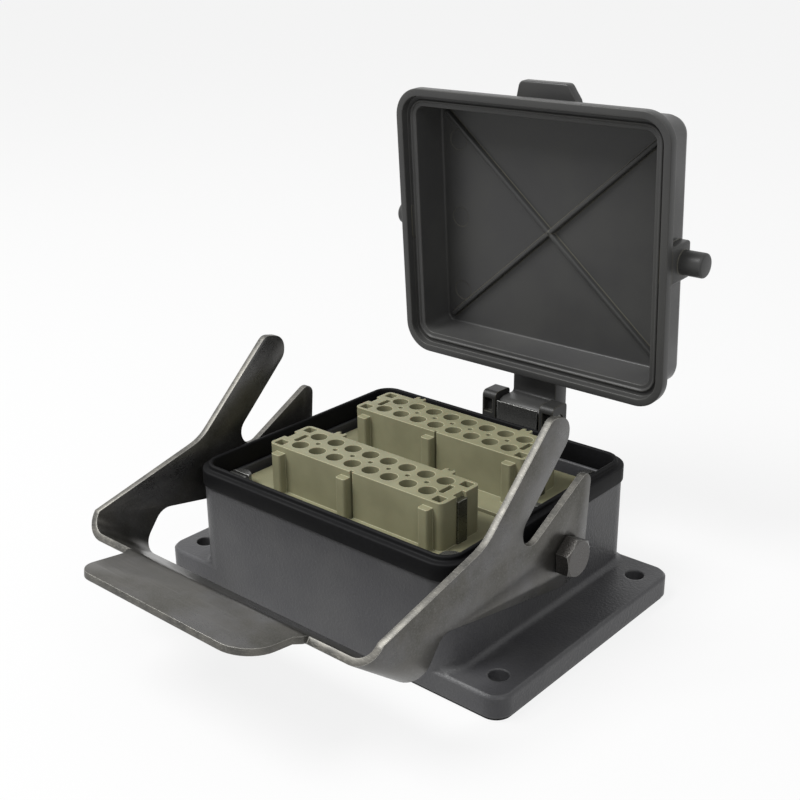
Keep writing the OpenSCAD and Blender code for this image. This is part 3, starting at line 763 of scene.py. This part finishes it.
def fixing_screws(node, body):
    """Slotted screws, each on its spring washer; one is modelled and copied to the corners."""
    low, high = size_of(node)
    x, y, rear_y, seat = low.x + HEAD_R, low.y + HEAD_R, high.y - HEAD_R, high.z - SEAT_DEPTH
    slot_z = seat + WASHER + HEAD - HEAD_SLOT_DEPTH
    screw = rod("screw_head", (x, y, seat + WASHER), "z", HEAD, HEAD_R, 40)
    soften(screw, 0.55, 40, 4)
    cut(screw, block("slot", (x - 5, y - HEAD_SLOT_HALF, slot_z),
                     (x + 5, y + HEAD_SLOT_HALF, seat + 6)))
    washer = rod("washer", (x, y, seat), "z", WASHER, WASHER_R, 40)
    soften(washer, 0.2, 40, 2)
    cut(washer, block("washer_gap", (x, y - WASHER_GAP_HALF, seat - 1),
                      (x + 5, y + WASHER_GAP_HALF, seat + 0.8)))
    shank = rod("shank", (x, y, low.z), "z", seat + 0.5 - low.z, SHANK_R, 24)
    soften(shank, 0.4, 40, 2)
    join(screw, washer, shank)
    others = []
    for corner_x, corner_y, turn in ((-x, y, 35), (x, rear_y, -50), (-x, rear_y, 80)):
        other = screw.copy()
        other.data = screw.data.copy()
        other.data.transform(Matrix.Translation(Vector((corner_x, corner_y, 0)) * MM)
                             @ Matrix.Rotation(math.radians(turn), 4, "Z")
                             @ Matrix.Translation(Vector((-x, -y, 0)) * MM))
        bpy.context.collection.objects.link(other)
        others.append(other)
    join(screw, *others)
    screw.name = screw.data.name = node + "_detail"
    dress(screw, screw_steel)
    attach(screw, body)
    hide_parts(node)


# ---- Nodes that keep their solids ---------------------------------------------

KEPT = {
    "housing": paint, "flange_seal": rubber, "insert_front": beige, "insert_rear": beige,
    "sockets_front": silver, "sockets_rear": silver, "earth_clips_front": clip_steel,
    "earth_clips_rear": clip_steel, "terminal_screws_front": screw_steel,
    "terminal_screws_rear": screw_steel, "pivot_bolt_left": bolt_steel,
    "pivot_bolt_right": bolt_steel, "hinge_bracket": bracket_moulding, "hinge_pin": screw_steel,
    "hinge_spring": screw_steel, "bracket_screws": screw_steel,
}
for node, finish in KEPT.items():
    dress(frame["nodes"][node], finish)

rubber_rim()
locking_lever()
protective_cover()
fixing_screws("fixing_screws_front", "housing")
fixing_screws("fixing_screws_rear", "housing")


# ---- Studio -------------------------------------------------------------------

FLOOR_WHITE = 0.85          # share of plain white in the floor, where it is background
WORLD_LIGHT = 0.48          # strength of the light all round; as background it is 1


def background_rays(nodes, links):
    """1 for a ray that sees the background straight, in metal or through glass."""
    path = nodes.new("ShaderNodeLightPath")
    seen = path.outputs["Is Camera Ray"]
    for kind in ("Is Glossy Ray", "Is Transmission Ray"):
        either = nodes.new("ShaderNodeMath")
        either.operation = "MAXIMUM"
        links.new(seen, either.inputs[0])
        links.new(path.outputs[kind], either.inputs[1])
        seen = either.outputs[0]
    return seen


def paper_floor():
    clear()
    bpy.ops.mesh.primitive_plane_add(size=16, location=(0, 0, 0))
    floor = named("studio_floor")
    paper = Finish("pale_paper")
    paper.put(paper.shader.inputs["Base Color"], (0.6, 0.6, 0.6, 1))
    paper.put(paper.shader.inputs["Roughness"], 0.9)
    glow = paper.nodes.new("ShaderNodeEmission")
    mix = paper.nodes.new("ShaderNodeMixShader")
    seen = Value(paper, background_rays(paper.nodes, paper.links))
    paper.put(mix.inputs[0], seen * FLOOR_WHITE)
    paper.links.new(paper.shader.outputs[0], mix.inputs[1])
    paper.links.new(glow.outputs[0], mix.inputs[2])
    paper.links.new(mix.outputs[0], paper.nodes["Material Output"].inputs[0])
    dress(floor, paper.material)


def surroundings():
    world = bpy.data.worlds.new("studio")
    world.use_nodes = True
    bpy.context.scene.world = world
    nodes, links = world.node_tree.nodes, world.node_tree.links
    level = nodes.new("ShaderNodeMapRange")
    level.inputs["To Min"].default_value = WORLD_LIGHT
    level.inputs["To Max"].default_value = 1.0
    links.new(background_rays(nodes, links), level.inputs["Value"])
    links.new(level.outputs[0], nodes["Background"].inputs["Strength"])
    nodes["Background"].inputs["Color"].default_value = (1, 1, 1, 1)


def softbox(name, place, width, power):
    """A round light that faces the middle of the part; metres and watts."""
    light = bpy.data.lights.new(name, "AREA")
    light.shape, light.size, light.energy = "DISK", width, power
    lamp = bpy.data.objects.new(name, light)
    bpy.context.collection.objects.link(lamp)
    lamp.location = place
    way = Vector((0, 0, 0.05)) - Vector(place)
    lamp.rotation_euler = way.to_track_quat("-Z", "Y").to_euler()


def camera():
    lens = bpy.data.cameras.new("camera")
    lens.lens, lens.sensor_width = 54.84, 36
    lens.clip_start, lens.clip_end = 0.01, 50
    eye = bpy.data.objects.new("camera", lens)
    bpy.context.collection.objects.link(eye)
    eye.location = (0.20536, -0.24172, 0.18077)
    eye.rotation_euler = [math.radians(angle) for angle in (68.658, 0.547, 40.778)]
    bpy.context.scene.camera = eye


paper_floor()
surroundings()
softbox("top_light", (-0.34, -0.44, 0.86), 0.55, 12)
softbox("side_light", (0.7, -0.35, 0.7), 0.6, 2)
camera()
bpy.context.scene.view_settings.view_transform = "Standard"
